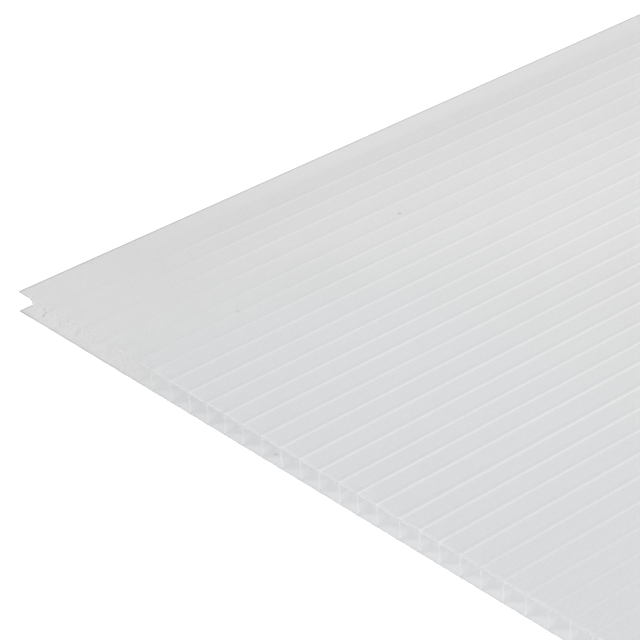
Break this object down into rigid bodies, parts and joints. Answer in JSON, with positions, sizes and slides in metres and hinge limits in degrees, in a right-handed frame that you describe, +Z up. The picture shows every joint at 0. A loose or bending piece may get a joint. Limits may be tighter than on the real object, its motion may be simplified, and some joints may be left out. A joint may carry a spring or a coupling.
{
  "type": "multiwall polycarbonate sheet",
  "caption": "Twin-wall opal plastic glazing sheet: two thin skins held apart by upright webs, with open flutes from end to end and slit long edges.",
  "frame": {"origin": "middle of the underside, on the surface that the sheet lies on", "axes": "+X across the webs, towards the right slit edge; +Y along the flutes, away from the sawn end in view; +Z up, out of the upper skin"},
  "size_m": [0.7, 2, 0.01],
  "materials": {
    "opal_polycarbonate": "translucent opal white, smooth extruded skin with a soft gloss, sawn ends slightly matt"
  },
  "bodies": {
    "root": {"twinwall_sheet": "opal_polycarbonate"}
  },
  "joints": []
}
